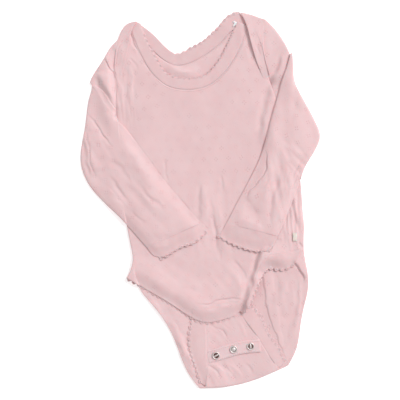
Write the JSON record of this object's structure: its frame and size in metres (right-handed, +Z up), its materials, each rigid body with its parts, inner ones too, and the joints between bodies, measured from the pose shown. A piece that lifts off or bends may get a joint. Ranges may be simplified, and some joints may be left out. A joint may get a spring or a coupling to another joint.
{
  "type": "baby bodysuit",
  "caption": "Long-sleeved baby bodysuit in fine pointelle knit with scalloped ribbed edges and a snap crotch, laid flat with both sleeves folded in over the front.",
  "frame": {"origin": "on the surface the garment lies on, under the middle of its outline", "axes": "+Z up out of the laid garment, +Y towards the neck, +X towards the side of the garment that is on the right when seen from above"},
  "size_m": [0.2758, 0.432, 0.0103],
  "materials": {
    "pointelle_knit": "soft matt cotton knit with a small eyelet pattern",
    "rib_edging": "fine ribbed cotton with a scalloped edge",
    "woven_tape": "plain woven cotton tape",
    "snap_metal": "dull nickel plate",
    "satin_label": "white satin ribbon, blank"
  },
  "bodies": {
    "root": {"back_panel": "pointelle_knit", "front_panel": "pointelle_knit", "back_shoulder_left": "pointelle_knit", "back_shoulder_right": "pointelle_knit", "sleeve_left": "pointelle_knit", "sleeve_right_head": "pointelle_knit", "sleeve_right": "pointelle_knit", "cuff_left": "rib_edging", "cuff_right": "rib_edging", "neck_band_back": "rib_edging", "neck_band_front": "rib_edging", "leg_band_front_left": "rib_edging", "leg_band_front_right": "rib_edging", "leg_band_tab_left": "rib_edging", "leg_band_tab_right": "rib_edging", "leg_band_back_left": "rib_edging", "leg_band_back_right": "rib_edging", "snap_tape": "woven_tape", "snap_1": "snap_metal", "snap_2": "snap_metal", "snap_3": "snap_metal", "side_label": "satin_label"}
  },
  "joints": []
}
